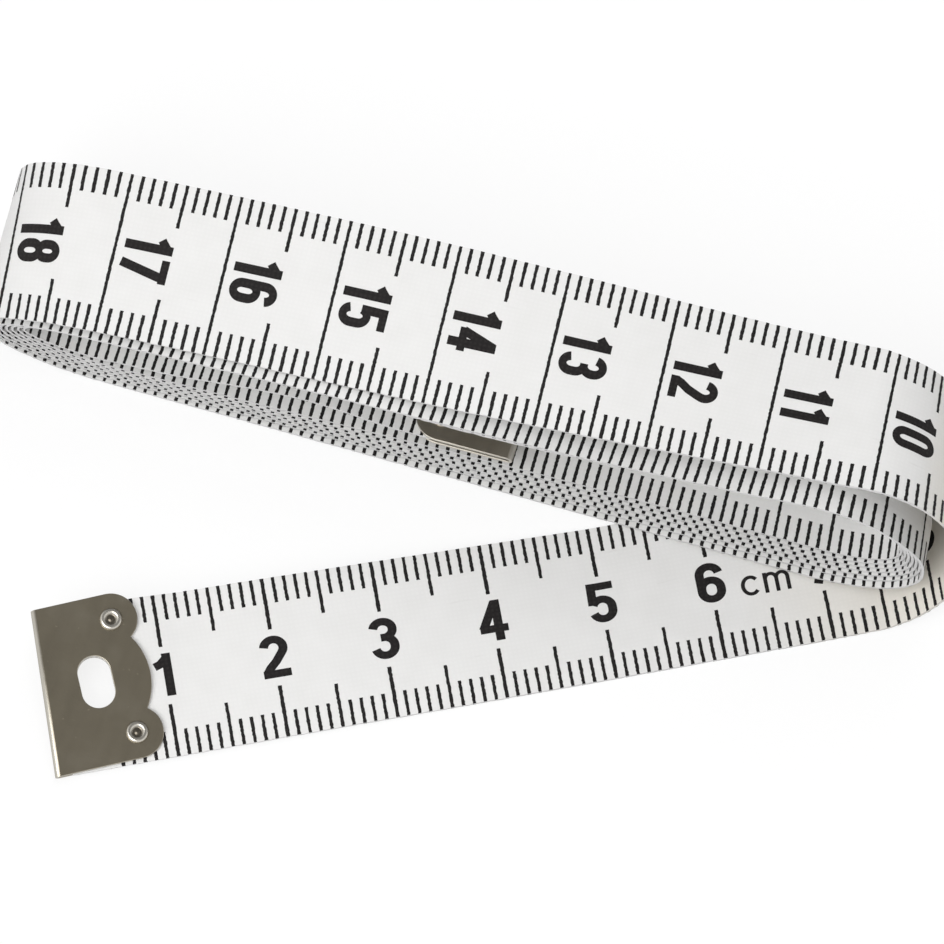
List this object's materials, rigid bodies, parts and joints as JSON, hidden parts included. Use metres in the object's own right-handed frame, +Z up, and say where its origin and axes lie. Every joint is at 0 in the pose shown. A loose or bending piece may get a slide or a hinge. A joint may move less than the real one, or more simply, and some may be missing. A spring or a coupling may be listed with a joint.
{
  "type": "cloth tape measure",
  "caption": "Flexible white tape measure wound in a flat oblong coil, printed with a centimetre scale, its lead drawn out on the table, with riveted metal end clips.",
  "frame": {"origin": "middle of the footprint, on the table that the coil and its lead lie on", "axes": "+X along the coil towards the loop, +Y from the tape's near edge to its far edge, +Z up"},
  "size_m": [0.0966, 0.0554, 0.0177],
  "materials": {
    "scale_ink": "black printing ink on the tape",
    "tape": "satin coated glass-fibre weave with a black printed scale",
    "clip_metal": "satin nickel plate, finely scratched",
    "rivet_metal": "nickel plate, polished by pressing"
  },
  "bodies": {
    "coil": {"tape_coil": "tape", "tape_run": "tape", "inner_clip": "clip_metal", "inner_rivet_near": "rivet_metal", "inner_rivet_far": "rivet_metal"},
    "lead_inner": {"tape_lead_inner": "tape"},
    "lead_middle": {"tape_lead_middle": "tape"},
    "lead_tip": {"tape_lead_tip": "tape", "start_clip": "clip_metal", "start_rivet_near": "rivet_metal", "start_rivet_far": "rivet_metal"}
  },
  "joints": [
    {"name": "lead_bend_1", "type": "hinge", "parent": "coil", "child": "lead_inner", "pos_m": [0.01717, 0.00296, 0.00013], "axis": [-0.4648, 0.8854, 0], "range_deg": [0, 40]},
    {"name": "lead_bend_2", "type": "hinge", "parent": "lead_inner", "child": "lead_middle", "pos_m": [0.0039, -0.00404, 0.00086], "axis": [-0.4632, 0.8824, 0.0828], "range_deg": [0, 40]},
    {"name": "lead_bend_3", "type": "hinge", "parent": "lead_middle", "child": "lead_tip", "pos_m": [-0.00934, -0.01108, 0.00169], "axis": [-0.4585, 0.8733, 0.165], "range_deg": [0, 40]}
  ]
}
